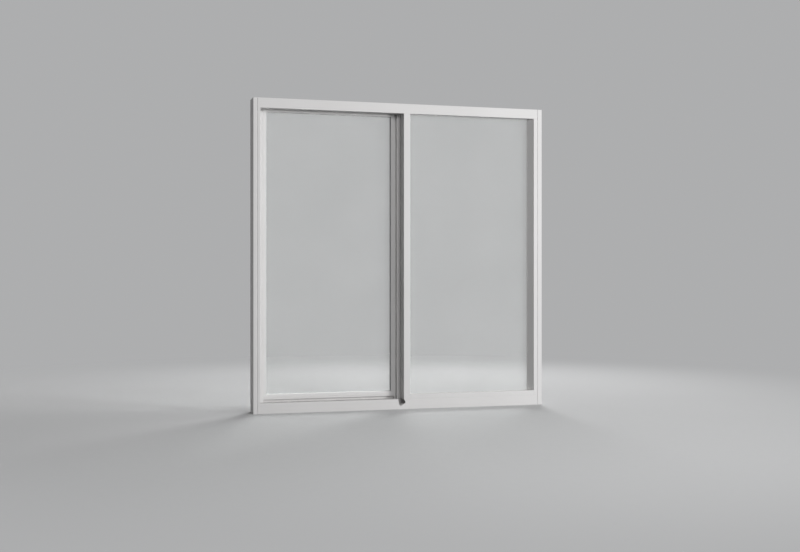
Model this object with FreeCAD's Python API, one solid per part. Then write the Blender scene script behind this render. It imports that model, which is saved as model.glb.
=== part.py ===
# A horizontal sliding window of white extrusions, about 1.2 m square.
# One half is a fixed lite near the front face, the other a sash on rollers in the rear channel.
# Millimetres, +Z up. The origin is under the middle of the window, at the foot of the sill.
# Helpers take x from the left outer edge, d as depth behind the front face, z from the foot.
import FreeCAD
import Part
import os

# Overall size
frame_width = 1196.0
frame_height = 1219.0

# Walls and visible faces of the frame
wall = 2.5
front_tube = 27.0
head_face = 38.6
sill_face = 40.5
fixed_sill_top = 60.0
left_jamb_face = 27.0
right_jamb_face = 35.6
left_strip = 16.5
right_strip = 21.2
seam = 2.8
seam_depth = 1.7
guide_leg_head = 32.0
guide_leg_sill = 38.0
guide_leg_jamb = 11.0
rear_leg_head = 27.0
rear_leg_sill = 50.0
rear_leg_jamb = 27.0

# Glass
pane = 3.0
air_gap = 8.0
front_gasket = 3.0
rear_gasket = 2.0
glass_edge_gap = 3.0
glass_bite = 12.5
gasket_set_back = 2.0
spacer_height = 7.0
block_height = 5.5
block_length = 90.0

# Sash channel
sash_thickness = 25.0
channel_gap = 2.0
jamb_gap = 6.5
seal_clearance = 0.3
seal_height = 6.0

# Post between the two halves
post_left = 602.5
post_face = 26.6
post_web = 9.5
drain_notch_mouth = 24.0
drain_notch_reach = 19.0
drain_notch_toe = 13.0
drain_notch_undercut = 5.7
drain_notch_lip = 9.5
drain_notch_side = 15.5
drain_notch_shoulder = 22.5
drain_notch_drop = 27.8

# Glazing adapter on the fixed side's jamb
adapter_reach = 19.7
adapter_start = 4.0
adapter_web_back = 4.6
adapter_leg = 16.0

# Sash members
sash_foot = 20.0
sash_head_gap = 23.0
stile_sight = 49.3
meeting_lap = 23.5
meeting_sight = 63.2
bottom_rail_sight = 49.1
top_rail_sight = 23.9
bead_face = 12.6
bead_gap = 0.2
bead_depth = 4.0
sash_gasket = 1.5
stop_leg = 2.5
pull_groove_width = 10.0
pull_groove_depth = 14.0
pull_groove_from_bead = 1.2
drip_groove_low = 38.0
drip_groove_height = 11.0
drip_groove_depth = 10.0

# Rollers, track and hardware
track_height = 16.0
track_width = 3.0
track_cap = 0.8
wheel_radius = 8.0
wheel_width = 7.0
wheel_clearance = 0.2
axle_radius = 2.5
housing_length = 60.0
housing_width = 18.0
housing_height = 15.2
housing_wall = 2.0
housing_from_stile = 60.0
housing_fit = 0.3
anchor_hole_radius = 3.0
anchor_spacing = 430.0
anchor_from_sash_back = 4.0
screw_shank = 2.0
screw_hole = 2.3
screw_head = 4.5
screw_head_depth = 2.2
screw_length = 34.0
screw_boss = 9.0
block_size = 40.0
latch_height = 900.0
latch_plate_length = 130.0
latch_plate_width = 12.0
latch_plate_thickness = 1.5
latch_slider_length = 32.0
latch_slider_width = 7.0
latch_slider_rise = 0.9
weep_length = 25.0
weep_height = 5.0

# Places worked out from the sizes
unit = 2 * pane + air_gap
glass_front = front_tube + front_gasket
glass_back = glass_front + unit
guide_front = glass_back + rear_gasket
guide_back = guide_front + wall
sash_front = guide_back + channel_gap
sash_back = sash_front + sash_thickness
rear_front = sash_back + channel_gap
frame_depth = rear_front + wall
head_line = frame_height - head_face
post_right = post_left + post_face
right_jamb_line = frame_width - right_jamb_face
sash_left = wall + jamb_gap
sash_right = post_left + meeting_lap
sash_top = frame_height - sash_head_gap
sight_left = sash_left + stile_sight
sight_right = sash_right - meeting_sight
sight_bottom = sash_foot + bottom_rail_sight
sight_top = sash_top - top_rail_sight
sash_glass_front = sash_front + bead_depth + sash_gasket
sash_glass_back = sash_glass_front + unit
adapter_nose = right_jamb_line - adapter_reach
adapter_web = right_jamb_line + adapter_web_back
bead_reach = bead_face + bead_gap


def box(x0, x1, d0, d1, z0, z1):
    corner = FreeCAD.Vector(x0 - frame_width / 2, d0 - frame_depth / 2, z0)
    return Part.makeBox(x1 - x0, d1 - d0, z1 - z0, corner)


def place(x, d, z):
    return FreeCAD.Vector(x - frame_width / 2, d - frame_depth / 2, z)


def rod(x, d, z, radius, length, direction):
    return Part.makeCylinder(radius, length, place(x, d, z), FreeCAD.Vector(*direction))


def prism(corners, run):
    wire = Part.makePolygon(corners + [corners[0]])
    return Part.Face(wire).extrude(FreeCAD.Vector(*run))


def upright(outline, z0, z1):
    return prism([place(x, d, z0) for x, d in outline], (0, 0, z1 - z0))


def join(*shapes):
    whole = shapes[0].fuse(list(shapes[1:]))
    return whole.removeSplitter()


def tube_along_x(x0, x1, d0, d1, z0, z1):
    inside = box(x0, x1, d0 + wall, d1 - wall, z0 + wall, z1 - wall)
    return box(x0, x1, d0, d1, z0, z1).cut(inside)


def tube_upright(x0, x1, d0, d1, z0, z1):
    inside = box(x0 + wall, x1 - wall, d0 + wall, d1 - wall, z0, z1)
    return box(x0, x1, d0, d1, z0, z1).cut(inside)


def ring(x0, x1, d0, d1, z0, z1, width):
    inside = box(x0 + width, x1 - width, d0, d1, z0 + width, z1 - width)
    return box(x0, x1, d0, d1, z0, z1).cut(inside)


def save(name, shape):
    shape.exportStep("parts/" + name + ".step")
    print(name, len(shape.Solids), round(shape.Volume / 1000.0, 1), shape.isValid())


# Screw places: two into the head's boss and two into the sill's, at each jamb
def boss_heights():
    low = wall + screw_boss / 2
    return [low, frame_height - low]


boss_depths = [wall + screw_boss / 2, front_tube - wall - screw_boss / 2]


def screw_bosses(x0, x1, z):
    bars = []
    for d in boss_depths:
        half = screw_boss / 2
        bars.append(box(x0, x1, d - half, d + half, z - half, z + half))
    return bars


def screw_holes(x, run):
    holes = []
    for z in boss_heights():
        for d in boss_depths:
            holes.append(rod(x, d, z, screw_hole, screw_length + 1, (run, 0, 0)))
    return holes


# Where the head and the sill stand, the jambs are cut back to their outer strips and walls
def jamb_cope(strip_x, wall_x):
    far = frame_width / 2
    cuts = []
    for x, d0, d1, low, high in (
            (strip_x, 0, front_tube, sill_face, head_face),
            (wall_x, guide_front, guide_back, guide_leg_sill, guide_leg_head),
            (wall_x, rear_front, frame_depth, rear_leg_sill, rear_leg_head)):
        x0 = min(x, far)
        x1 = max(x, far)
        cuts.append(box(x0, x1, d0, d1, 0, low))
        cuts.append(box(x0, x1, d0, d1, frame_height - high, frame_height))
    return cuts


def countersinks(x, run):
    sinks = []
    for z in boss_heights():
        for d in boss_depths:
            tip = place(x, d, z)
            sinks.append(Part.makeCone(screw_head, screw_hole, screw_head_depth, tip,
                                       FreeCAD.Vector(run, 0, 0)))
    return sinks


def anchor_holes(x, run):
    holes = []
    middle = frame_height / 2
    for step in (-1, 0, 1):
        holes.append(rod(x, sash_back - anchor_from_sash_back, middle + step * anchor_spacing,
                         anchor_hole_radius, wall + 2, (run, 0, 0)))
    return holes


def left_jamb():
    front = tube_upright(0, left_jamb_face, 0, front_tube, 0, frame_height)
    back = box(0, wall, 0, frame_depth, 0, frame_height)
    guide = box(0, guide_leg_jamb, guide_front, guide_back, 0, frame_height)
    rear = box(0, rear_leg_jamb, rear_front, frame_depth, 0, frame_height)
    body = join(front, back, guide, rear)
    cuts = jamb_cope(left_strip, wall)
    cuts.append(box(left_strip - seam, left_strip, 0, seam_depth, 0, frame_height))
    cuts += screw_holes(-1, 1) + countersinks(0, 1) + anchor_holes(-1, 1)
    return body.cut(cuts)


def right_jamb():
    edge = frame_width
    front = tube_upright(right_jamb_line, edge, 0, front_tube, 0, frame_height)
    back = box(edge - wall, edge, 0, frame_depth, 0, frame_height)
    guide = box(edge - guide_leg_jamb, edge, guide_front, guide_back, 0, frame_height)
    rear = box(edge - rear_leg_jamb, edge, rear_front, frame_depth, 0, frame_height)
    body = join(front, back, guide, rear)
    strip = edge - right_strip
    cuts = jamb_cope(strip, edge - wall)
    cuts.append(box(strip, strip + seam, 0, seam_depth, 0, frame_height))
    cuts += screw_holes(edge + 1, -1) + countersinks(edge, -1) + anchor_holes(edge + 1, -1)
    return body.cut(cuts)


def head():
    x0 = left_strip
    x1 = frame_width - right_strip
    top = frame_height
    wide_x0 = wall
    wide_x1 = frame_width - wall
    front = tube_along_x(x0, x1, 0, front_tube, head_line, top)
    web = box(wide_x0, wide_x1, front_tube, frame_depth, top - wall, top)
    guide = box(wide_x0, wide_x1, guide_front, guide_back, top - guide_leg_head, top)
    rear = box(wide_x0, wide_x1, rear_front, frame_depth, top - rear_leg_head, top)
    bosses = screw_bosses(x0, x1, boss_heights()[1])
    body = join(front, web, guide, rear, *bosses)
    return body.cut(screw_holes(-1, 1) + screw_holes(frame_width + 1, -1))


# The water runs out at the foot of the post, through a slanting notch in the sill's face
def drain_notch():
    under = post_left + drain_notch_undercut
    top = sill_face
    corners = [place(post_left - drain_notch_mouth, 0, top), place(post_left, 0, top),
               place(under, 0, top - drain_notch_lip), place(under, 0, top - drain_notch_side),
               place(post_left - drain_notch_toe, 0, top - drain_notch_drop),
               place(post_left - drain_notch_reach, 0, top - drain_notch_shoulder)]
    return prism(corners, (0, front_tube, 0))


def weep_slots():
    slots = []
    for share in (0.25, 0.75):
        x = frame_width * share
        slots.append(box(x - weep_length / 2, x + weep_length / 2, guide_front - 1, guide_back + 1,
                         wall, wall + weep_height))
    return slots


def sill():
    x0 = left_strip
    x1 = frame_width - right_strip
    wide_x0 = wall
    wide_x1 = frame_width - wall
    middle = (sash_front + sash_back) / 2
    front = tube_along_x(x0, x1, 0, front_tube, 0, sill_face)
    web = box(wide_x0, wide_x1, front_tube, frame_depth, 0, wall)
    guide = box(wide_x0, wide_x1, guide_front, guide_back, 0, guide_leg_sill)
    rail = box(wide_x0, wide_x1, middle - track_width / 2, middle + track_width / 2, 0,
               track_height - track_cap)
    rear = box(wide_x0, wide_x1, rear_front, frame_depth, 0, rear_leg_sill)
    bosses = screw_bosses(x0, x1, boss_heights()[0])
    body = join(front, web, guide, rail, rear, *bosses)
    cuts = screw_holes(-1, 1) + screw_holes(frame_width + 1, -1) + weep_slots()
    cuts.append(drain_notch())
    return body.cut(cuts)


def sill_track_cap():
    middle = (sash_front + sash_back) / 2
    half = track_width / 2
    over = half + track_cap
    x0 = left_strip
    x1 = frame_width - right_strip
    cap = box(x0, x1, middle - over, middle + over, track_height / 2, track_height)
    return cap.cut(box(x0, x1, middle - half, middle + half, 0, track_height - track_cap))


def meeting_post():
    front = tube_upright(post_left, post_right, 0, front_tube, sill_face, head_line)
    web = tube_upright(post_left, post_left + post_web, front_tube - wall, guide_back,
                       sill_face, frame_height - guide_leg_head)
    stop = box(post_left + post_web - wall, post_right, guide_front, guide_back,
               sill_face, frame_height - guide_leg_head)
    above = box(post_left, post_right, 0, front_tube, head_line, frame_height)
    return join(front, web, stop).cut(above)


# The fixed half's bottom rail stands on the sill, and its ledge carries the glass
def fixed_bottom_rail():
    x0 = post_right
    x1 = right_jamb_line
    front = tube_along_x(x0, x1, 0, front_tube, sill_face, fixed_sill_top)
    heel = box(x0, x1, front_tube, front_tube + front_gasket / 2, guide_leg_sill,
               sill_face + wall)
    ledge = box(x0, x1, front_tube, guide_back, guide_leg_sill, sill_face)
    stop = box(x0, x1, guide_front, guide_back, guide_leg_sill, fixed_sill_top - 2 * wall)
    return join(front, heel, ledge, stop)


# A hollow slanting nose beside the fixed glass, with a pocket and a stop behind it
def fixed_jamb_adapter():
    z0 = fixed_sill_top
    z1 = head_line
    nose = upright([(right_jamb_line, adapter_start), (adapter_nose, front_tube),
                    (right_jamb_line, front_tube)], z0, z1)
    hollow = upright([(right_jamb_line - wall, adapter_start + 3 * wall),
                      (adapter_nose + 2.5 * wall, front_tube - wall),
                      (right_jamb_line - wall, front_tube - wall)], z0, z1)
    foot = box(right_jamb_line - wall, adapter_web + wall, front_tube, front_tube + wall, z0, z1)
    web = box(adapter_web, adapter_web + wall, front_tube, guide_back, z0, z1)
    stop = box(adapter_web + wall - adapter_leg, adapter_web + wall, guide_front, guide_back,
               z0, z1)
    return join(nose.cut(hollow), foot, web, stop)


fixed_glass_x0 = post_left + post_web + glass_edge_gap
fixed_glass_x1 = right_jamb_line - glass_edge_gap
fixed_glass_z0 = sill_face + block_height
fixed_glass_z1 = head_line + glass_bite
sash_glass_x0 = sight_left - glass_bite + glass_edge_gap
sash_glass_x1 = sight_right + glass_bite - glass_edge_gap
sash_glass_z0 = sight_bottom - glass_bite + glass_edge_gap
sash_glass_z1 = sight_top + glass_bite - glass_edge_gap


def save_glazing(half, x0, x1, z0, z1, front, front_rubber, rear_rubber):
    inner = front + pane + air_gap
    save(half + "_outer_pane", box(x0, x1, front, front + pane, z0, z1))
    save(half + "_inner_pane", box(x0, x1, inner, inner + pane, z0, z1))
    save(half + "_glass_spacer", ring(x0, x1, front + pane, inner, z0, z1, spacer_height))
    rubber_width = glass_bite - glass_edge_gap - gasket_set_back
    save(half + "_outer_gasket", ring(x0, x1, front - front_rubber, front, z0, z1,
                                      rubber_width))
    save(half + "_inner_gasket", ring(x0, x1, front + unit, front + unit + rear_rubber, z0, z1,
                                      rubber_width))


def setting_blocks(x0, x1, front, z0, z1):
    blocks = []
    for share in (0.25, 0.75):
        x = x0 + (x1 - x0) * share
        blocks.append(box(x - block_length / 2, x + block_length / 2, front, front + unit, z0, z1))
    return Part.makeCompound(blocks)


# Each sash member is a tube, with a leg behind the glass that the bead faces in front
def sash_left_stile():
    tube_edge = sight_left - bead_reach
    tube = tube_upright(sash_left, tube_edge, sash_front, sash_back, sash_foot, sash_top)
    leg = box(tube_edge, sight_left, sash_back - stop_leg, sash_back,
              sight_bottom - bead_reach, sight_top + bead_reach)
    return join(tube, leg)


def sash_meeting_stile():
    tube_edge = sight_right + bead_reach
    groove_x0 = tube_edge + pull_groove_from_bead
    groove_x1 = groove_x0 + pull_groove_width
    tube = tube_upright(tube_edge, sash_right, sash_front, sash_back, sash_foot, sash_top)
    trough = box(tube_edge, groove_x1 + wall, sash_front, sash_front + pull_groove_depth + wall,
                 sash_foot, sash_top)
    leg = box(sight_right, tube_edge, sash_back - stop_leg, sash_back,
              sight_bottom - bead_reach, sight_top + bead_reach)
    groove = box(groove_x0, groove_x1, sash_front, sash_front + pull_groove_depth,
                 sash_foot, sash_top)
    return join(tube, trough, leg).cut(groove)


def sash_top_rail():
    x0 = sight_left - bead_reach
    x1 = sight_right + bead_reach
    low = sight_top + bead_reach
    tube = tube_along_x(x0, x1, sash_front, sash_back, low, sash_top)
    leg = box(sight_left, sight_right, sash_back - stop_leg, sash_back, sight_top, low)
    return join(tube, leg)


def roller_places():
    first = sight_left - bead_reach + housing_from_stile
    last = sight_right + bead_reach - housing_from_stile
    return [first, last]


def sash_bottom_rail():
    x0 = sight_left - bead_reach
    x1 = sight_right + bead_reach
    high = sight_bottom - bead_reach
    middle = (sash_front + sash_back) / 2
    tube = tube_along_x(x0, x1, sash_front, sash_back, sash_foot, high)
    leg = box(sight_left, sight_right, sash_back - stop_leg, sash_back, high, sight_bottom)
    drip_top = drip_groove_low + drip_groove_height
    drip_back = sash_front + drip_groove_depth
    trough = box(x0, x1, sash_front, drip_back + wall, drip_groove_low - wall, drip_top + wall)
    groove = box(x0, x1, sash_front, drip_back, drip_groove_low, drip_top)
    half_length = housing_length / 2 + housing_fit
    half_width = housing_width / 2 + housing_fit
    cuts = [groove]
    for x in roller_places():
        cuts.append(box(x - half_length, x + half_length, middle - half_width,
                        middle + half_width, sash_foot - 1, sash_foot + wall + 1))
    return join(tube, trough, leg).cut(cuts)


def roller_housings():
    middle = (sash_front + sash_back) / 2
    axle_z = track_height + wheel_radius
    side = wheel_width / 2 + wheel_clearance
    housings = []
    for x in roller_places():
        half = housing_length / 2
        shell = box(x - half, x + half, middle - housing_width / 2, middle + housing_width / 2,
                    sash_foot, sash_foot + housing_height)
        hollow = box(x - half + housing_wall, x + half - housing_wall, middle - side,
                     middle + side, sash_foot - 1, sash_foot + housing_height - housing_wall)
        axle = rod(x, middle - housing_width / 2, axle_z, axle_radius, housing_width, (0, 1, 0))
        housings.append(join(shell.cut(hollow), axle))
    return Part.makeCompound(housings)


def roller_wheels():
    middle = (sash_front + sash_back) / 2
    axle_z = track_height + wheel_radius
    half = wheel_width / 2
    wheels = []
    for x in roller_places():
        wheel = rod(x, middle - half, axle_z, wheel_radius - wheel_clearance, wheel_width,
                    (0, 1, 0))
        bore = rod(x, middle - half, axle_z, axle_radius + wheel_clearance, wheel_width, (0, 1, 0))
        wheels.append(wheel.cut(bore))
    return Part.makeCompound(wheels)


# Beads are wedges: thick at the glass edge of the frame and thin at the sight line
def bead_along_x(z_outer, z_sight):
    back = sash_front + bead_depth
    x0 = sight_left - bead_face
    x1 = sight_right + bead_face
    corners = [place(x0, sash_front, z_outer), place(x1, sash_front, z_outer),
               place(sight_right, sash_front, z_sight), place(sight_left, sash_front, z_sight)]
    return prism(corners, (0, back - sash_front, 0))


def bead_upright(x_outer, x_sight):
    back = sash_front + bead_depth
    z0 = sight_bottom - bead_face
    z1 = sight_top + bead_face
    corners = [place(x_outer, sash_front, z0), place(x_outer, sash_front, z1),
               place(x_sight, sash_front, sight_top), place(x_sight, sash_front, sight_bottom)]
    return prism(corners, (0, back - sash_front, 0))


def pile_strip(x0, x1, d0, d1, z0, z1):
    return box(x0, x1, d0, d1, z0, z1)


# Brush seals stand on the frame's legs and stop just short of the sash
def head_pile_seals():
    x0 = left_strip
    x1 = frame_width - right_strip
    z1 = frame_height - rear_leg_head + seal_height
    reach = channel_gap - seal_clearance
    front = pile_strip(x0, x1, guide_back, guide_back + reach, z1 - seal_height, z1)
    rear = pile_strip(x0, x1, rear_front - reach, rear_front, z1 - seal_height, z1)
    return Part.makeCompound([front, rear])


def sill_pile_seals():
    x0 = left_strip
    x1 = frame_width - right_strip
    z1 = guide_leg_sill
    reach = channel_gap - seal_clearance
    front = pile_strip(x0, x1, guide_back, guide_back + reach, z1 - seal_height, z1)
    rear = pile_strip(x0, x1, rear_front - reach, rear_front, z1 - seal_height, z1)
    return Part.makeCompound([front, rear])


def jamb_pile_seal():
    middle = (sash_front + sash_back) / 2
    half = seal_height / 2
    return pile_strip(wall, sash_left - seal_clearance, middle - half, middle + half,
                      sill_face, head_line)


def post_pile_seal():
    reach = channel_gap - seal_clearance
    x1 = post_right - wall
    return pile_strip(x1 - seal_height, x1, guide_back, guide_back + reach,
                      sill_face, frame_height - guide_leg_head - wall)


# Blocks over the sash keep it from being lifted off its track
def anti_lift_blocks():
    blocks = []
    z1 = frame_height - wall
    z0 = sash_top + seal_clearance * 4
    for x in roller_places():
        half = block_size / 2
        blocks.append(box(x - half, x + half, sash_front, sash_back, z0, z1))
    return Part.makeCompound(blocks)


# Soft bumpers on the far jamb stop the sash when it is opened
def jamb_bumpers():
    blocks = []
    edge = frame_width - wall
    for z in (sash_foot + block_size, sash_top - block_size):
        half = block_size / 2
        blocks.append(box(edge - jamb_gap, edge, sash_front, sash_back, z - half, z + half))
    return Part.makeCompound(blocks)


def jamb_screws(x, run):
    screws = []
    for z in boss_heights():
        for d in boss_depths:
            head_cone = Part.makeCone(screw_head - wheel_clearance, screw_shank,
                                      screw_head_depth, place(x, d, z),
                                      FreeCAD.Vector(run, 0, 0))
            shank = rod(x, d, z, screw_shank, screw_length, (run, 0, 0))
            screws.append(join(head_cone, shank))
    return Part.makeCompound(screws)


# The latch lies flat on the stile's rear face, clear of the jamb's rear leg
def latch_centre():
    return (rear_leg_jamb + sight_left - bead_reach) / 2


def latch_plate():
    x = latch_centre()
    half = latch_plate_width / 2
    z0 = latch_height - latch_plate_length / 2
    return box(x - half, x + half, sash_back, sash_back + latch_plate_thickness,
               z0, z0 + latch_plate_length)


def latch_slider():
    x = latch_centre()
    half = latch_slider_width / 2
    front = sash_back + latch_plate_thickness
    z0 = latch_height - latch_slider_length / 2
    bar = box(x - half, x + half, front, front + latch_slider_rise, z0,
              z0 + latch_slider_length)
    knob = box(x - half, x + half, front, frame_depth - seal_clearance, latch_height - half,
               latch_height + half)
    return join(bar, knob)


def latch_keeper():
    depth = (sash_front + sash_back) / 2 + seal_height
    half = latch_plate_length / 4
    plate = box(wall, wall + latch_plate_thickness, depth - seal_height / 2,
                depth + seal_height / 2 + wall, latch_height - half, latch_height + half)
    hook = box(wall, wall + jamb_gap - 2 * seal_clearance, depth, depth + wall,
               latch_height - half / 2, latch_height + half / 2)
    return join(plate, hook)


os.makedirs("parts", exist_ok=True)
save("left_jamb", left_jamb())
save("right_jamb", right_jamb())
save("head", head())
save("sill", sill())
save("sill_track_cap", sill_track_cap())
save("meeting_post", meeting_post())
save("fixed_bottom_rail", fixed_bottom_rail())
save("fixed_jamb_adapter", fixed_jamb_adapter())
save_glazing("fixed", fixed_glass_x0, fixed_glass_x1, fixed_glass_z0, fixed_glass_z1,
             glass_front, front_gasket, rear_gasket)
save("fixed_setting_blocks", setting_blocks(fixed_glass_x0, fixed_glass_x1, glass_front,
                                            sill_face, fixed_glass_z0))
save("sash_left_stile", sash_left_stile())
save("sash_meeting_stile", sash_meeting_stile())
save("sash_top_rail", sash_top_rail())
save("sash_bottom_rail", sash_bottom_rail())
save("sash_bead_left", bead_upright(sight_left - bead_face, sight_left))
save("sash_bead_right", bead_upright(sight_right + bead_face, sight_right))
save("sash_bead_top", bead_along_x(sight_top + bead_face, sight_top))
save("sash_bead_bottom", bead_along_x(sight_bottom - bead_face, sight_bottom))
save_glazing("sash", sash_glass_x0, sash_glass_x1, sash_glass_z0, sash_glass_z1,
             sash_glass_front, sash_gasket, sash_back - stop_leg - sash_glass_back)
save("sash_setting_blocks", setting_blocks(sash_glass_x0, sash_glass_x1, sash_glass_front,
                                           sight_bottom - bead_reach, sash_glass_z0))
save("roller_housings", roller_housings())
save("roller_wheels", roller_wheels())
save("head_pile_seals", head_pile_seals())
save("sill_pile_seals", sill_pile_seals())
save("jamb_pile_seal", jamb_pile_seal())
save("post_pile_seal", post_pile_seal())
save("anti_lift_blocks", anti_lift_blocks())
save("jamb_bumpers", jamb_bumpers())
save("left_jamb_screws", jamb_screws(0, 1))
save("right_jamb_screws", jamb_screws(frame_width, -1))
save("latch_plate", latch_plate())
save("latch_slider", latch_slider())
save("latch_keeper", latch_keeper())
print("depth", frame_depth)
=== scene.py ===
# %% [markdown]
# # A horizontal sliding window
# The window is a frame of white extrusions, about 1.2 m square. A fixed lite fills the right half,
# close to the front face. The left half is a slim sash that rolls behind it.
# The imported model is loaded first. It gives every member its place, and each finished piece below
# is made from those places, so nothing has to be fitted by eye.

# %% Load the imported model
import math
import bmesh
import bpy
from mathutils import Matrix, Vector


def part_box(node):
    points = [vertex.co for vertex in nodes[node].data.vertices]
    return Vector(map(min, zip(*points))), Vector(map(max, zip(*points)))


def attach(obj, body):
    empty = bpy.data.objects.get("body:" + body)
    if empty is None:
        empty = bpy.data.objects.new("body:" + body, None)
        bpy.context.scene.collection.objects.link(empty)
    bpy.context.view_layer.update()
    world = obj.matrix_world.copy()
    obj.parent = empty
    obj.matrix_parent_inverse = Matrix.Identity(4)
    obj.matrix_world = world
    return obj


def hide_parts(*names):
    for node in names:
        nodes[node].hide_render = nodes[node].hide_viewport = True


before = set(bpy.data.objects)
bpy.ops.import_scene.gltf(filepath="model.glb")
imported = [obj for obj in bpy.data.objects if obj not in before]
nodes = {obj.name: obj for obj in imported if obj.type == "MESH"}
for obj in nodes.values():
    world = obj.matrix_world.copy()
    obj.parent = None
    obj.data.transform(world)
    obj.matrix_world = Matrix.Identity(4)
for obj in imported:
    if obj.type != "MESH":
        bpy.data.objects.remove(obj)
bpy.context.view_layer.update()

# %% [markdown]
# ## Working on one piece at a time
# An operator acts on whatever is selected, and the loader leaves the whole model selected.
# So each step starts by choosing exactly one piece. Entering and leaving edit mode is put in two
# small helpers as well, because nearly every cell needs them. The last helper adds a box, which
# several pieces start from.

# %% Choosing a piece
MM = 0.001


def choose(piece):
    if bpy.context.mode != "OBJECT":
        bpy.ops.object.mode_set(mode="OBJECT")
    bpy.ops.object.select_all(action="DESELECT")
    piece.select_set(True)
    bpy.context.view_layer.objects.active = piece


def edit(piece):
    choose(piece)
    bpy.ops.object.mode_set(mode="EDIT")
    return bmesh.from_edit_mesh(piece.data)


def leave_edit():
    bpy.ops.object.mode_set(mode="OBJECT")


def set_place(piece):
    """Puts the piece's place, turn and size into its mesh, so its object sits at the origin."""
    choose(piece)
    bpy.ops.object.transform_apply(location=True, rotation=True, scale=True)


def block(centre, size):
    """A box to start a piece from, with its place and size in its mesh."""
    bpy.ops.object.select_all(action="DESELECT")
    bpy.ops.mesh.primitive_cube_add(size=1, location=centre, scale=size)
    piece = bpy.context.active_object
    set_place(piece)
    return piece


# %% [markdown]
# ## Selecting by place
# With no mouse, a face, an edge or a point is picked by a question about it: is it long, does it
# look forward, is it near this plane. The helper below asks that question of every one in the
# piece in edit mode, and selects those that answer yes.

# %% Selecting in code
def pick(shape, faces=None, edges=None, verts=None):
    for group in (shape.faces, shape.edges, shape.verts):
        for part in group:
            part.select = False
    for wanted, group in ((verts, shape.verts), (edges, shape.edges), (faces, shape.faces)):
        if wanted:
            for part in group:
                if wanted(part):
                    part.select_set(True)


def update(piece):
    bmesh.update_edit_mesh(piece.data)


# %% [markdown]
# ## Rounded edges
# An extruded bar has no knife edges: the die gives each corner a radius of about half a
# millimetre, and the paint softens it further. That tiny round is what catches the light along a
# real window frame. One way is a Bevel modifier on everything, but it would crush the fine seams,
# so only the long edges between faces that are wide enough are bevelled. Where three rounds meet, a
# bevel can push a corner out by a hair, so each piece is kept inside its box afterwards. Shading
# is smooth over the rounds, and edges that stay sharp are marked, so flat faces look flat.

# %% Rounding the long edges of a member
SHARP_FROM = math.radians(30)


def face_width(face):
    """The middle one of a face's three spans, which for a long flat face is its width."""
    spans = []
    for axis in range(3):
        places = [v.co[axis] for v in face.verts]
        spans.append(max(places) - min(places))
    return sorted(spans)[1]


def round_edges(piece, radius, shortest=12 * MM, narrowest=1.6 * MM, segments=3):
    shape = edit(piece)

    def sharp(edge):
        if len(edge.link_faces) != 2 or edge.calc_length() < shortest:
            return False
        if edge.calc_face_angle() < SHARP_FROM:
            return False
        return min(face_width(f) for f in edge.link_faces) > narrowest

    pick(shape, edges=sharp)
    count = sum(edge.select for edge in shape.edges)
    update(piece)
    if count:
        bpy.ops.mesh.bevel(offset=radius, segments=segments, profile=0.5, affect="EDGES",
                           clamp_overlap=True)
    leave_edit()
    return count


def keep_inside(piece, low, high):
    for vertex in piece.data.vertices:
        for axis in range(3):
            vertex.co[axis] = min(max(vertex.co[axis], low[axis]), high[axis])


def smooth(piece, angle=38):
    edit(piece)
    bpy.ops.mesh.select_mode(type="EDGE")
    bpy.ops.mesh.select_all(action="SELECT")
    bpy.ops.mesh.faces_shade_smooth()
    bpy.ops.mesh.mark_sharp(clear=True)
    bpy.ops.mesh.select_all(action="DESELECT")
    bpy.ops.mesh.edges_select_sharp(sharpness=math.radians(angle))
    bpy.ops.mesh.mark_sharp()
    bpy.ops.mesh.select_mode(type="VERT")
    leave_edit()
    even = piece.modifiers.new("Flat faces stay flat", "WEIGHTED_NORMAL")
    even.keep_sharp = True
    bpy.ops.object.modifier_apply(modifier=even.name)


# %% [markdown]
# ## Members cut from the model's own solids
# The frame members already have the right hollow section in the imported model. Redrawing them would
# only risk a mismatch, so each is copied. The copy's loose triangles are merged, its flat faces
# are made whole again, and then its edges are rounded.

# %% Copying a member and finishing its edges
SAME_POINT = 0.002 * MM
STILL_FLAT = math.radians(0.5)


def finished_member(node, radius=0.55 * MM):
    piece = bpy.data.objects.new(node + "_finished", nodes[node].data.copy())
    bpy.context.collection.objects.link(piece)
    edit(piece)
    bpy.ops.mesh.select_all(action="SELECT")
    bpy.ops.mesh.remove_doubles(threshold=SAME_POINT)
    bpy.ops.mesh.dissolve_limited(angle_limit=STILL_FLAT)
    leave_edit()
    rounded = round_edges(piece, radius)
    keep_inside(piece, *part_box(node))
    smooth(piece)
    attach(piece, "root")
    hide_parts(node)
    print(piece.name, "edges rounded:", rounded, "faces:", len(piece.data.polygons))
    return piece


# %% Frame members
frame_members = []
for name in ("left_jamb", "right_jamb", "head", "sill", "meeting_post", "fixed_bottom_rail",
             "fixed_jamb_adapter"):
    frame_members.append(finished_member(name))

# %% Sash members
sash_members = []
for name in ("sash_left_stile", "sash_meeting_stile", "sash_top_rail", "sash_bottom_rail"):
    sash_members.append(finished_member(name))

# %% [markdown]
# ## Glazing beads
# A bead is the snap-in strip that holds the glass from the front. Its face slopes from the sash
# member down to the glass, so that water runs off, and it is mitred at the corners. A box is
# the natural start: its inner front edge is pushed back to make the slope, and two slanting
# bisects cut the mitres.

# %% Beads with a sloping face and mitred ends
BEAD_SLOPE = 0.6 * MM


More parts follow.
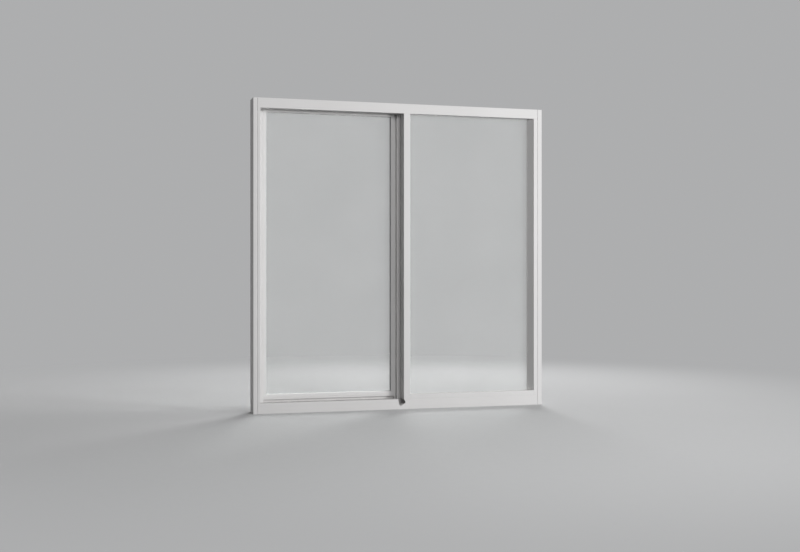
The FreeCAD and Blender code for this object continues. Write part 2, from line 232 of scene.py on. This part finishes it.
def glazing_bead(node, sight_side):
    low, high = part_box(node)
    centre = (low + high) / 2
    piece = block(centre, high - low)
    piece.name = node + "_sloped"
    axis = 0 if sight_side in ("left", "right") else 2
    at_sight = high[axis] if sight_side in ("right", "up") else low[axis]
    shape = edit(piece)
    pick(shape, verts=lambda v: abs(v.co[axis] - at_sight) < MM and v.co.y < low.y + MM)
    update(piece)
    bpy.ops.transform.translate(value=(0, BEAD_SLOPE, 0))
    inward = 1 if sight_side in ("right", "up") else -1
    along = 2 - axis
    for end, place in ((-1, low[along]), (1, high[along])):
        point = Vector(centre)
        point[along] = place
        point[axis] = low[axis] if inward > 0 else high[axis]
        normal = Vector((0, 0, 0))
        normal[along] = end
        normal[axis] = inward
        bpy.ops.mesh.select_all(action="SELECT")
        bpy.ops.mesh.bisect(plane_co=point, plane_no=normal, use_fill=True, clear_outer=True)
    leave_edit()
    round_edges(piece, 0.4 * MM, narrowest=1.0 * MM)
    smooth(piece)
    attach(piece, "root")
    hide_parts(node)
    print(piece.name, "faces:", len(piece.data.polygons))
    return piece


beads = [glazing_bead("sash_bead_left", "right"), glazing_bead("sash_bead_right", "left"),
         glazing_bead("sash_bead_top", "down"), glazing_bead("sash_bead_bottom", "up")]

# %% [markdown]
# ## Glass, spacers, gaskets and small blocks
# Each lite is a sealed pair of panes. The cut edges of a pane are ground, which leaves a narrow
# arris that shows as a bright line. The spacer between the panes and the rubber round them are
# simple bars, so the same copying and rounding serves them all.

# %% Glazing pieces
panes = []
for name in ("fixed_outer_pane", "fixed_inner_pane", "sash_outer_pane", "sash_inner_pane"):
    panes.append(finished_member(name, 0.35 * MM))

gaskets = []
for name in ("fixed_outer_gasket", "fixed_inner_gasket", "sash_outer_gasket",
             "sash_inner_gasket"):
    gaskets.append(finished_member(name, 0.5 * MM))

spacers = []
for name in ("fixed_glass_spacer", "sash_glass_spacer"):
    spacers.append(finished_member(name, 0.5 * MM))

glass_blocks = []
for name in ("fixed_setting_blocks", "sash_setting_blocks"):
    glass_blocks.append(finished_member(name, 0.6 * MM))

# %% [markdown]
# ## Turned pieces
# Wheels and screw heads are round about an axle, as if turned on a lathe. A ring of points is
# added as a circle, then extruded, moved and resized ring by ring along the outline. Spin could do
# it too, but rings keep the number of sides the same all along and need no merging.

# %% Turning a piece ring by ring
def turned(name, centre, outline, sides=40, hollow=False):
    """Outline is (distance along +Y from the centre, radius) for each ring, in metres."""
    first_y, first_radius = outline[0]
    bpy.ops.object.select_all(action="DESELECT")
    start = Vector(centre) + Vector((0, first_y, 0))
    bpy.ops.mesh.primitive_circle_add(vertices=sides, radius=first_radius, location=start,
                                      rotation=(math.radians(90), 0, 0))
    piece = bpy.context.active_object
    piece.name = name
    set_place(piece)
    edit(piece)
    bpy.ops.mesh.select_all(action="SELECT")
    place, size = first_y, first_radius
    for y, radius in outline[1:]:
        bpy.ops.mesh.extrude_edges_move(TRANSFORM_OT_translate={"value": (0, y - place, 0)})
        middle = Vector(centre) + Vector((0, y, 0))
        share = radius / size
        bpy.ops.transform.resize(value=(share, 1, share), center_override=middle)
        place, size = y, radius
    shape = bmesh.from_edit_mesh(piece.data)
    pick(shape, edges=lambda e: e.is_boundary)
    update(piece)
    if hollow:
        bpy.ops.mesh.bridge_edge_loops()
    else:
        bpy.ops.mesh.edge_face_add()
        bpy.ops.mesh.select_all(action="SELECT")
        bpy.ops.mesh.fill_holes(sides=0)
    bpy.ops.mesh.select_all(action="SELECT")
    bpy.ops.mesh.normals_make_consistent(inside=False)
    leave_edit()
    return piece


def joined(name, pieces):
    choose(pieces[0])
    for piece in pieces[1:]:
        piece.select_set(True)
    bpy.ops.object.join()
    whole = bpy.context.active_object
    whole.name = name
    return whole


def own_copy(piece, shift):
    twin = piece.copy()
    twin.data = piece.data.copy()
    bpy.context.collection.objects.link(twin)
    edit(twin)
    bpy.ops.mesh.select_all(action="SELECT")
    bpy.ops.transform.translate(value=shift)
    leave_edit()
    return twin


# %% [markdown]
# ## Roller wheels
# The sash runs on two nylon wheels. A shallow groove round the tread keeps each wheel on the
# track, and the hub stands a little proud of the web. One wheel is turned and then copied.

# %% Grooved wheels
wheel_low, wheel_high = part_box("roller_wheels")
wheel_radius = (wheel_high.z - wheel_low.z) / 2
wheel_middle = (wheel_low.y + wheel_high.y) / 2
wheel_half = (wheel_high.y - wheel_low.y) / 2
wheel_height = (wheel_low.z + wheel_high.z) / 2
first_wheel = (wheel_low.x + wheel_radius, wheel_middle, wheel_height)
bore = 2.8 * MM
web = wheel_half - 0.9 * MM
rim = wheel_radius - 1.6 * MM
half_outline = [(-wheel_half, bore), (-wheel_half, 0.52 * wheel_radius),
                (-web, 0.56 * wheel_radius), (-web, rim),
                (-wheel_half, wheel_radius - 1.2 * MM), (-wheel_half, wheel_radius - 0.4 * MM),
                (-wheel_half + 0.5 * MM, wheel_radius), (-1.7 * MM, wheel_radius),
                (-1.1 * MM, wheel_radius - 0.7 * MM)]
wheel_outline = half_outline + [(-y, radius) for y, radius in reversed(half_outline)]
wheel = turned("roller_wheel_a", first_wheel, wheel_outline, hollow=True)
smooth(wheel)
travel = wheel_high.x - wheel_low.x - 2 * wheel_radius
wheels = joined("roller_wheels_grooved", [wheel, own_copy(wheel, (travel, 0, 0))])
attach(wheels, "root")
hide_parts("roller_wheels")
print("wheel radius", round(wheel_radius, 4), "apart", round(travel, 4))

# %% [markdown]
# ## Corner screws
# Countersunk screws pull the head and the sill tight against the jambs. Each has a cross recess.
# The head is turned, and the recess is made the way a maker would: a cutter of two crossed blocks
# is taken away from it.

# %% Countersunk screws with a cross recess
HEAD_RADIUS = 4.3 * MM
SHANK_RADIUS = 2.0 * MM
SHANK_LENGTH = 12 * MM
RECESS_DEPTH = 1.5 * MM
CROSS_LENGTH = 4.6 * MM
CROSS_WIDTH = 1.1 * MM
HEAD_PROUD = 0.15 * MM


def cross_cutter(centre):
    blades = []
    for long_x, long_z in ((CROSS_LENGTH, CROSS_WIDTH), (CROSS_WIDTH, CROSS_LENGTH)):
        blades.append(block(centre, (long_x, 2 * RECESS_DEPTH, long_z)))
    return blades


def corner_screw(name):
    outline = [(0, 0.2 * MM), (0, HEAD_RADIUS - 0.3 * MM), (0.25 * MM, HEAD_RADIUS),
               (2.2 * MM, SHANK_RADIUS), (SHANK_LENGTH, SHANK_RADIUS),
               (SHANK_LENGTH + MM, 0.8 * MM)]
    screw = turned(name, (0, 0, 0), outline, sides=32)
    for blade in cross_cutter((0, 0, 0)):
        choose(screw)
        cut = screw.modifiers.new("Cross recess", "BOOLEAN")
        cut.operation = "DIFFERENCE"
        cut.object = blade
        cut.solver = "EXACT"
        bpy.ops.object.modifier_apply(modifier=cut.name)
        bpy.data.objects.remove(blade)
    return screw


def screws_of_jamb(node, side):
    """Side is -1 for the left jamb, whose screw heads face -X, and 1 for the right one."""
    low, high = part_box(node)
    outer = low.x if side < 0 else high.x
    made = []
    for y in (low.y + HEAD_RADIUS, high.y - HEAD_RADIUS):
        for z in (low.z + HEAD_RADIUS, high.z - HEAD_RADIUS):
            screw = corner_screw(node + "_one")
            screw.rotation_euler = (0, 0, math.radians(-90 if side < 0 else 90))
            screw.location = (outer - side * HEAD_PROUD, y, z)
            set_place(screw)
            made.append(screw)
    piece = joined(node + "_crossed", made)
    smooth(piece, 30)
    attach(piece, "root")
    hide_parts(node)
    print(piece.name, "faces:", len(piece.data.polygons))
    return piece


screws = [screws_of_jamb("left_jamb_screws", -1), screws_of_jamb("right_jamb_screws", 1)]

# %% [markdown]
# ## Brush seals
# A brush seal is a woven backing with rows of short bristles that sweep the sash as it slides. Hair
# would be far too heavy for something this small. One tapered tuft is added as a cone and
# repeated along the strip by an Array modifier, in three rows.

# %% Bristles on a backing
TUFT_SIDES = 4
TUFT_STEP = 2.4 * MM
TUFT_FOOT = 1.15 * MM
TUFT_TIP = 0.5 * MM
BACKING_SHARE = 0.4
TUFT_SHARE = 0.62
ROWS_ACROSS = (0.2, 0.5, 0.8)
STRIP_DEPTH = 1.7 * MM


def brush_strip(name, low, high, reach_axis, reach_sign):
    low, high = Vector(low), Vector(high)
    size = high - low
    run_axis = max(range(3), key=lambda axis: size[axis])
    across_axis = 3 - reach_axis - run_axis
    backing_low, backing_high = Vector(low), Vector(high)
    depth = size[reach_axis]
    if reach_sign > 0:
        backing_high[reach_axis] = low[reach_axis] + depth * BACKING_SHARE
    else:
        backing_low[reach_axis] = high[reach_axis] - depth * BACKING_SHARE
    parts = [block((backing_low + backing_high) / 2, backing_high - backing_low)]
    direction = Vector((0, 0, 0))
    direction[reach_axis] = reach_sign
    turn = direction.to_track_quat("Z", "Y").to_euler()
    count = int(size[run_axis] / TUFT_STEP) - 1
    tall = depth * TUFT_SHARE
    for row, share in enumerate(ROWS_ACROSS):
        at = Vector(low)
        at[across_axis] = low[across_axis] + size[across_axis] * share
        at[run_axis] = low[run_axis] + TUFT_STEP * (0.6 + 0.33 * row)
        at[reach_axis] = (high if reach_sign > 0 else low)[reach_axis] - reach_sign * tall / 2
        bpy.ops.object.select_all(action="DESELECT")
        bpy.ops.mesh.primitive_cone_add(vertices=TUFT_SIDES, radius1=TUFT_FOOT,
                                        radius2=TUFT_TIP, depth=tall, location=at,
                                        rotation=turn)
        tuft = bpy.context.active_object
        set_place(tuft)
        step = [0, 0, 0]
        step[run_axis] = TUFT_STEP
        repeat = tuft.modifiers.new("Row of tufts", "ARRAY")
        repeat.use_relative_offset = False
        repeat.use_constant_offset = True
        repeat.constant_offset_displace = step
        repeat.count = count
        choose(tuft)
        bpy.ops.object.modifier_apply(modifier=repeat.name)
        parts.append(tuft)
    return joined(name, parts)


def brush_seal(node, strips):
    made = []
    for low, high, axis, sign in strips:
        made.append(brush_strip(node + "_strip", low, high, axis, sign))
    piece = joined(node + "_bristled", made)
    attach(piece, "root")
    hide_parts(node)
    print(piece.name, "faces:", len(piece.data.polygons))
    return piece


def facing_strips(node):
    """Two strips on the two legs of a channel, brushing the sash between them."""
    low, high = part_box(node)
    front_high = Vector((high.x, low.y + STRIP_DEPTH, high.z))
    rear_low = Vector((low.x, high.y - STRIP_DEPTH, low.z))
    return [(low, front_high, 1, 1), (rear_low, high, 1, -1)]


seals = [brush_seal("head_pile_seals", facing_strips("head_pile_seals")),
         brush_seal("sill_pile_seals", facing_strips("sill_pile_seals"))]
jamb_seal_low, jamb_seal_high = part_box("jamb_pile_seal")
seals.append(brush_seal("jamb_pile_seal", [(jamb_seal_low, jamb_seal_high, 0, 1)]))
post_seal_low, post_seal_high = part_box("post_pile_seal")
seals.append(brush_seal("post_pile_seal", [(post_seal_low, post_seal_high, 1, 1)]))

# %% [markdown]
# ## Latch
# A flush slide latch lies on the rear face of the sash's stile. Its plate has rounded ends and a
# raised rim, and two small screws hold it. The slider between them has a ribbed thumb grip.

# %% Latch plate
PLATE_CORNER = 5.2 * MM
PLATE_RIM = 0.9 * MM
SCREW_FROM_MIDDLE = 56 * MM
plate_low, plate_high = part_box("latch_plate")
plate_centre = (plate_low + plate_high) / 2
plate = block(plate_centre, plate_high - plate_low)
plate.name = "latch_plate_rounded"
plate_shape = edit(plate)
pick(plate_shape, edges=lambda e: abs(e.verts[0].co.y - e.verts[1].co.y) > 0.5 * MM)
update(plate)
bpy.ops.mesh.bevel(offset=PLATE_CORNER, segments=8, affect="EDGES")
plate_shape = bmesh.from_edit_mesh(plate.data)
pick(plate_shape, faces=lambda f: f.normal.y > 0.9)
update(plate)
bpy.ops.mesh.inset(thickness=PLATE_RIM, depth=0)
bpy.ops.mesh.inset(thickness=0.3 * MM, depth=-0.4 * MM)
leave_edit()
plate_screws = []
for drop in (-1, 1):
    height = plate_centre.z + drop * SCREW_FROM_MIDDLE
    spot = (plate_centre.x, plate_high.y - 0.5 * MM, height)
    dome = [(0, 2.6 * MM), (0.35 * MM, 2.4 * MM), (0.6 * MM, 1.8 * MM), (0.72 * MM, 0.6 * MM)]
    plate_screws.append(turned("latch_screw", spot, dome, sides=24))
latch = joined("latch_plate_rounded", [plate] + plate_screws)
smooth(latch, 30)
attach(latch, "root")
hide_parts("latch_plate")
print("latch plate faces:", len(latch.data.polygons))

# %% Latch slider with a ribbed grip
BAR_THICKNESS = 0.9 * MM
RIB_COUNT = 5
RIB_STEP = 1.4 * MM
RIB_LENGTH = 6.6 * MM
RIB_WIDTH = 1.0 * MM
RIB_OVERLAP = 0.2 * MM
slider_low, slider_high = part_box("latch_slider")
slider_centre = (slider_low + slider_high) / 2
slider_size = slider_high - slider_low
bar_front = slider_low.y + BAR_THICKNESS
slider_bar = block((slider_centre.x, (slider_low.y + bar_front) / 2, slider_centre.z),
                   (slider_size.x, bar_front - slider_low.y, slider_size.z))
round_edges(slider_bar, 0.3 * MM, shortest=MM, narrowest=0.5 * MM)
grip_top = slider_high.y
first_rib = slider_centre.z - (RIB_COUNT - 1) / 2 * RIB_STEP
rib = block((slider_centre.x, (bar_front + grip_top) / 2, first_rib),
            (RIB_LENGTH, grip_top - bar_front + 2 * RIB_OVERLAP, RIB_WIDTH))
round_edges(rib, 0.3 * MM, shortest=0.5 * MM, narrowest=0.5 * MM)
row_of_ribs = rib.modifiers.new("Ribs", "ARRAY")
row_of_ribs.use_relative_offset = False
row_of_ribs.use_constant_offset = True
row_of_ribs.constant_offset_displace = (0, 0, RIB_STEP)
row_of_ribs.count = RIB_COUNT
choose(rib)
bpy.ops.object.modifier_apply(modifier=row_of_ribs.name)
slider = joined("latch_slider_ribbed", [slider_bar, rib])
smooth(slider)
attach(slider, "root")
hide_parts("latch_slider")
print("slider faces:", len(slider.data.polygons))

# %% [markdown]
# ## Track, housings, keeper and stops
# The stainless cap on the track, the roller housings, the keeper and the nylon blocks are plain
# pieces with broken edges. The blocks get larger radii, as moulded nylon does.

# %% Running gear and stops
steel_parts = []
for name in ("sill_track_cap", "roller_housings", "latch_keeper"):
    steel_parts.append(finished_member(name, 0.3 * MM))
nylon_parts = []
for name in ("anti_lift_blocks", "jamb_bumpers"):
    nylon_parts.append(finished_member(name, 1.2 * MM))

# %% [markdown]
# ## Writing a material as arithmetic
# A material is a small graph of nodes. Wired by hand it is long to read, so one class wraps a
# socket: adding or multiplying two of them adds the Math node for it, and every other node
# comes from one method that takes its type, its settings and its inputs.

# %% A socket that can be added and multiplied
class Wire:
    def __init__(self, tree, socket=None):
        self.tree = tree
        self.socket = socket

    def node(self, kind, settings=None, inputs=None, output=0):
        made = self.tree.nodes.new(kind)
        for name, value in (settings or {}).items():
            setattr(made, name, value)
        for name, value in (inputs or {}).items():
            if isinstance(value, Wire):
                self.tree.links.new(value.socket, made.inputs[name])
            else:
                made.inputs[name].default_value = value
        return Wire(self.tree, made.outputs[output] if len(made.outputs) else None)

    def maths(self, operation, first, second):
        return self.node("ShaderNodeMath", {"operation": operation}, {0: first, 1: second})

    def __add__(self, other):
        return self.maths("ADD", self, other)

    def __radd__(self, other):
        return self.maths("ADD", other, self)

    def __mul__(self, other):
        return self.maths("MULTIPLY", self, other)

    def at_least(self, other):
        return self.maths("MAXIMUM", self, other)


# %% [markdown]
# ## Patterns that finishes share
# Three patterns serve nearly every finish here: a cloudy noise for broad changes of tone, a fine
# noise for grain, and a blend of two colours by a mask. They read Object coordinates, so they
# are in metres and stay fixed to the piece.

# %% Noise, stretch and blend
def new_material(name):
    material = bpy.data.materials.new(name)
    material.use_nodes = True
    tree = material.node_tree
    tree.nodes.clear()
    return material, Wire(tree)


def stretched(graph, scale):
    place = graph.node("ShaderNodeTexCoord", output="Object")
    return graph.node("ShaderNodeMapping", inputs={"Vector": place, "Scale": scale})


def noise(graph, scale, detail=2.0, where=None):
    place = where or graph.node("ShaderNodeTexCoord", output="Object")
    return graph.node("ShaderNodeTexNoise", inputs={"Vector": place, "Scale": scale,
                                                    "Detail": detail})


def between(graph, value, low, high):
    """Stretches the part of a pattern between low and high over 0 to 1."""
    return graph.node("ShaderNodeMapRange", inputs={"Value": value, "From Min": low,
                                                    "From Max": high})


def inside(graph, place, start, end, soft):
    """1 between start and end, with a soft step of the given length at each."""
    return between(graph, place, start, start + soft) * between(graph, place, end, end - soft)


def blend(graph, mask, first, second):
    return graph.node("ShaderNodeMix", {"data_type": "RGBA"},
                      {"Factor": mask, "A": first, "B": second}, output="Result")


def surface(graph, kind, inputs):
    shader = graph.node(kind, inputs=inputs)
    graph.node("ShaderNodeOutputMaterial", inputs={"Surface": shader})


# %% [markdown]
# ## White powder coat
# The paint is baked powder: a satin white with a faint orange peel, about one ripple a millimetre.
# Its tone is a touch uneven over a long bar. A few specks of dust lie on every face that looks up.
# Painted shade, patchy, darkens the faces that look up on the sill, where little light comes from
# above, and the inside of the long groove of the sash's bottom rail, where shade falls in the
# recess.
# Masks by place and by the way a face looks put it there. The peel goes into the normal by a Bump
# node, and the dust specks and the painted shade only into colour and roughness.

# %% Powder coat
WHITE_DARKER = (0.815, 0.806, 0.803, 1)
WHITE_LIGHTER = (0.85, 0.842, 0.84, 1)
# One grey serves both the dust specks and the painted shade.
DUST_AND_SHADE = (0.34, 0.325, 0.31, 1)
# Painted shade on the sill's upward faces starts at this height and is full below the next one.
SILL_SHADE_ENDS = 0.09
SILL_SHADE_FULL = 0.06
# The box inside the groove of the sash's bottom rail where painted shade is laid.
GROOVE_FRONT = 0.0110
GROOVE_BACK = 0.0225
GROOVE_FOOT = 0.035
GROOVE_TOP = 0.052


def powder_coat():
    material, graph = new_material("white_powder_coat")
    clouds = between(graph, noise(graph, 3.0, 3.0), 0.3, 0.7)
    white = blend(graph, clouds, WHITE_DARKER, WHITE_LIGHTER)
    up = graph.node("ShaderNodeSeparateXYZ",
                    inputs={"Vector": graph.node("ShaderNodeNewGeometry", output="Normal")},
                    output="Z")
    place = graph.node("ShaderNodeTexCoord", output="Object")
    height = graph.node("ShaderNodeSeparateXYZ", inputs={"Vector": place}, output="Z")
    behind = graph.node("ShaderNodeSeparateXYZ", inputs={"Vector": place}, output="Y")
    specks = between(graph, noise(graph, 60.0, 6.0), 0.42, 0.75)
    patchy_noise = 0.45 + noise(graph, 22.0, 4.0) * 0.5
    level = between(graph, up, 0.5, 1.0)
    low = between(graph, height, SILL_SHADE_ENDS, SILL_SHADE_FULL)
    # Painted shade inside the groove of the sash's bottom rail, where the recess is in shade.
    groove_shade = (inside(graph, behind, GROOVE_FRONT, GROOVE_BACK, 0.0015)
              * inside(graph, height, GROOVE_FOOT, GROOVE_TOP, 0.002))
    # The specks are dust on every upward face; the rest is painted shade, on the sill's upward faces
    # and inside the rail's groove.
    dust_and_shade = level * (specks * 0.2 + low * patchy_noise * 0.42) + groove_shade * patchy_noise * 0.3
    dusty_and_shaded = blend(graph, dust_and_shade, white, DUST_AND_SHADE)
    peel = noise(graph, 850.0, 2.0)
    bump = graph.node("ShaderNodeBump", inputs={"Height": peel, "Strength": 0.12,
                                                "Distance": 0.0002})
    rough = 0.44 + clouds * 0.07 + dust_and_shade * 0.4
    surface(graph, "ShaderNodeBsdfPrincipled",
            {"Base Color": dusty_and_shaded, "Roughness": rough, "Normal": bump, "IOR": 1.5})
    return material


# %% [markdown]
# ## Glass
# Clear float glass is almost invisible from the front: it shows by its reflections and by a faint
# green in its edges. Light has to pass it, or the lamps would leave black shadows behind the
# window, so it is plain transparent to shadow rays, mixed in by Light Path.

# %% Clear glass
def clear_glass():
    material, graph = new_material("clear_float_glass")
    patchy_noise = between(graph, noise(graph, 5.0, 4.0), 0.35, 0.75)
    tint = blend(graph, patchy_noise, (0.985, 0.988, 0.986, 1), (0.965, 0.97, 0.967, 1))
    body = graph.node("ShaderNodeBsdfPrincipled",
                      inputs={"Base Color": tint, "Roughness": patchy_noise * 0.012,
                              "Transmission Weight": 0.97, "IOR": 1.5})
    clear = graph.node("ShaderNodeBsdfTransparent", inputs={"Color": (0.975, 0.98, 0.977, 1)})
    shadow = graph.node("ShaderNodeLightPath", output="Is Shadow Ray")
    surface(graph, "ShaderNodeMixShader", {0: shadow, 1: body, 2: clear})
    return material


# %% [markdown]
# ## Rubber, nylon, brushes and metals
# Rubber is matt with a fine bloom. Nylon is slightly glossy and mottled. The brushes are dull
# fibres, lighter at some tufts. The spacer is drawn aluminium, with fine lines along its bars, and
# the screws, the latch and the track cap are stainless steel with the same kind of lines.

# %% Rubber and nylon
def gasket_rubber():
    material, graph = new_material("soft_gasket")
    bloom = between(graph, noise(graph, 40.0, 5.0), 0.4, 0.7)
    color = blend(graph, bloom, (0.36, 0.36, 0.362, 1), (0.46, 0.46, 0.46, 1))
    grain = graph.node("ShaderNodeBump", inputs={"Height": noise(graph, 1600.0), "Strength": 0.25,
                                                 "Distance": 0.0001})
    surface(graph, "ShaderNodeBsdfPrincipled",
            {"Base Color": color, "Roughness": 0.62 + bloom * 0.15, "Normal": grain})
    return material


def moulded_nylon():
    material, graph = new_material("moulded_nylon")
    mottle = between(graph, noise(graph, 90.0, 4.0), 0.35, 0.7)
    color = blend(graph, mottle, (0.74, 0.735, 0.71, 1), (0.8, 0.795, 0.775, 1))
    grain = graph.node("ShaderNodeBump", inputs={"Height": noise(graph, 1200.0), "Strength": 0.2,
                                                 "Distance": 0.0001})
    surface(graph, "ShaderNodeBsdfPrincipled",
            {"Base Color": color, "Roughness": 0.42 + mottle * 0.12, "Normal": grain})
    return material


# %% Brush fibres
def brush_fibre():
    material, graph = new_material("brush_fibre")
    tufts = between(graph, noise(graph, 420.0, 2.0), 0.35, 0.68)
    color = blend(graph, tufts, (0.19, 0.19, 0.2, 1), (0.36, 0.36, 0.37, 1))
    fibres = graph.node("ShaderNodeBump", inputs={"Height": noise(graph, 3500.0), "Strength": 0.5,
                                                  "Distance": 0.0002})
    surface(graph, "ShaderNodeBsdfPrincipled",
            {"Base Color": color, "Roughness": 0.85 + tufts * 0.1, "Normal": fibres})
    return material


# %% Metals
def drawn_metal(name, dark, light, roughness):
    material, graph = new_material(name)
    lines = noise(graph, 1.0, 4.0, stretched(graph, (18.0, 900.0, 900.0)))
    streaks = between(graph, lines, 0.35, 0.68)
    color = blend(graph, streaks, dark, light)
    bump = graph.node("ShaderNodeBump", inputs={"Height": lines, "Strength": 0.2,
                                                "Distance": 0.0001})
    surface(graph, "ShaderNodeBsdfPrincipled",
            {"Base Color": color, "Metallic": 1.0, "Roughness": roughness + streaks * 0.12,
             "Normal": bump})
    return material


# %% Putting the finishes on
def paint(pieces, material):
    for piece in pieces:
        piece.data.materials.clear()
        piece.data.materials.append(material)
    print(material.name, "on", len(pieces), "pieces")


paint(frame_members + sash_members + beads, powder_coat())
paint(panes, clear_glass())
paint(gaskets + glass_blocks, gasket_rubber())
paint(spacers, drawn_metal("drawn_aluminium", (0.6, 0.6, 0.61, 1), (0.74, 0.74, 0.75, 1), 0.3))
paint(steel_parts + screws + [latch],
      drawn_metal("stainless_steel", (0.5, 0.5, 0.51, 1), (0.62, 0.62, 0.63, 1), 0.28))
paint(nylon_parts + [wheels, slider], moulded_nylon())
paint(seals, brush_fibre())

# %% [markdown]
# ## Floor and world
# The floor is a plain pale disc. Near the window it is an ordinary matt floor, which keeps the
# soft shadow. Farther out it fades to the colour of the world, for the camera, reflections and
# glass only, so no horizon cuts the picture. Light rays meet a darker floor than the camera does,
# so it throws only a little light up at the window.

# %% Pale floor
BACKGROUND = (0.42, 0.423, 0.428, 1)
FLOOR = (0.72, 0.725, 0.73, 1)
FLOOR_SPOT = (0.7092, 0.7141, 0.7191, 1)
FLOOR_AS_LIGHT = (0.14, 0.14, 0.14, 1)
FLOOR_RADIUS = 14
FADE_STARTS = 0.7
FADE_ENDS = 3.0

bpy.ops.object.select_all(action="DESELECT")
bpy.ops.mesh.primitive_circle_add(vertices=96, radius=FLOOR_RADIUS, fill_type="NGON",
                                  location=(0, 0, 0))
floor = bpy.context.active_object
floor.name = "pale_floor"


def seen(graph):
    """1 for a ray from the camera, a reflection or through glass, and 0 for light."""
    looks = None
    for name in ("Is Camera Ray", "Is Glossy Ray", "Is Transmission Ray"):
        ray = graph.node("ShaderNodeLightPath", output=name)
        looks = ray if looks is None else looks.at_least(ray)
    return looks


def pale_floor():
    material, graph = new_material("pale_floor")
    grain = between(graph, noise(graph, 30.0, 6.0), 0.3, 0.7)
    color = blend(graph, grain, FLOOR, FLOOR_SPOT)
    lit = graph.node("ShaderNodeBsdfPrincipled", inputs={"Base Color": color, "Roughness": 0.8})
    dim = graph.node("ShaderNodeBsdfDiffuse", inputs={"Color": FLOOR_AS_LIGHT})
    looks = seen(graph)
    near = graph.node("ShaderNodeMixShader", inputs={0: looks, 1: dim, 2: lit})
    far = graph.node("ShaderNodeEmission", inputs={"Color": BACKGROUND, "Strength": 1.0})
    place = graph.node("ShaderNodeTexCoord", output="Object")
    away = graph.node("ShaderNodeVectorMath", {"operation": "LENGTH"}, {0: place}, "Value")
    fade = graph.node("ShaderNodeMapRange", {"interpolation_type": "SMOOTHERSTEP"},
                      {"Value": away, "From Min": FADE_STARTS, "From Max": FADE_ENDS})
    surface(graph, "ShaderNodeMixShader", {0: fade * looks, 1: near, 2: far})
    return material


floor.data.materials.append(pale_floor())
print("floor radius", FLOOR_RADIUS, "fades from", FADE_STARTS, "to", FADE_ENDS)

# %% World
AMBIENT = 0.09
world = bpy.data.worlds.new("studio")
bpy.context.scene.world = world
world.use_nodes = True
world.node_tree.nodes.clear()
sky = Wire(world.node_tree)
ambient = sky.node("ShaderNodeBackground",
                   inputs={"Color": (1, 0.99, 0.985, 1), "Strength": AMBIENT})
backdrop = sky.node("ShaderNodeBackground", inputs={"Color": BACKGROUND, "Strength": 1.0})
world_mix = sky.node("ShaderNodeMixShader", inputs={0: seen(sky), 1: ambient, 2: backdrop})
sky.node("ShaderNodeOutputWorld", inputs={"Surface": world_mix})
print("world nodes", len(world.node_tree.nodes), "ambient", AMBIENT)

# %% [markdown]
# ## Lamps
# The key is one broad soft lamp, far out in front on the right. It hangs at about the height of
# the window's top, so its light reaches under the head to the sash's top rail. It leaves the faces
# that look left in shade, and lays the post's shadow on the sash's meeting stile. A weaker lamp in
# front keeps the shade open, and two more light the rear. Those three would show as glare in the
# glass, so reflections don't see them.

# %% Soft lamps
AIM = Vector((0.0, 0.0, 0.6))


def soft_lamp(name, place, size, power, in_gloss=True):
    """A round lamp that looks at the window. Place and size are in metres, power in watts."""
    data = bpy.data.lights.new(name, "AREA")
    data.shape = "DISK"
    data.size = size
    data.energy = power
    lamp = bpy.data.objects.new(name, data)
    bpy.context.collection.objects.link(lamp)
    lamp.location = place
    lamp.visible_camera = False
    lamp.visible_transmission = False
    lamp.visible_glossy = in_gloss
    lamp.rotation_euler = (AIM - Vector(place)).to_track_quat("-Z", "Y").to_euler()
    print("lamp", name, "at", place, "watts", power)


soft_lamp("key", (4.6, -4.7, 1.35), 1.8, 243)
soft_lamp("front_fill", (0.45, -3.7, 1.9), 1.6, 45, in_gloss=False)
soft_lamp("rear_fill", (1.9, 3.9, 2.3), 2.4, 175, in_gloss=False)
soft_lamp("rear_left_fill", (-2.6, 3.8, 1.4), 1.8, 26, in_gloss=False)

# %% [markdown]
# ## Camera
# The photograph's lines fit a 50 mm lens, held level a little below half the window's height. It
# stands 4.3 m in front and 1.2 m to the left, and is turned 16 degrees back towards the window.

# %% Camera
CAMERA_PLACE = (-1.2307, -4.299, 0.5315)
CAMERA_TURN = math.radians(-15.97)
camera_data = bpy.data.cameras.new("camera")
camera_data.lens = 50
camera_data.sensor_width = 36
camera = bpy.data.objects.new("camera", camera_data)
bpy.context.collection.objects.link(camera)
camera.location = CAMERA_PLACE
camera.rotation_euler = (math.radians(90), 0, CAMERA_TURN)
bpy.context.scene.camera = camera
bpy.context.scene.view_settings.view_transform = "Standard"
print("camera at", CAMERA_PLACE, "lens", camera_data.lens)
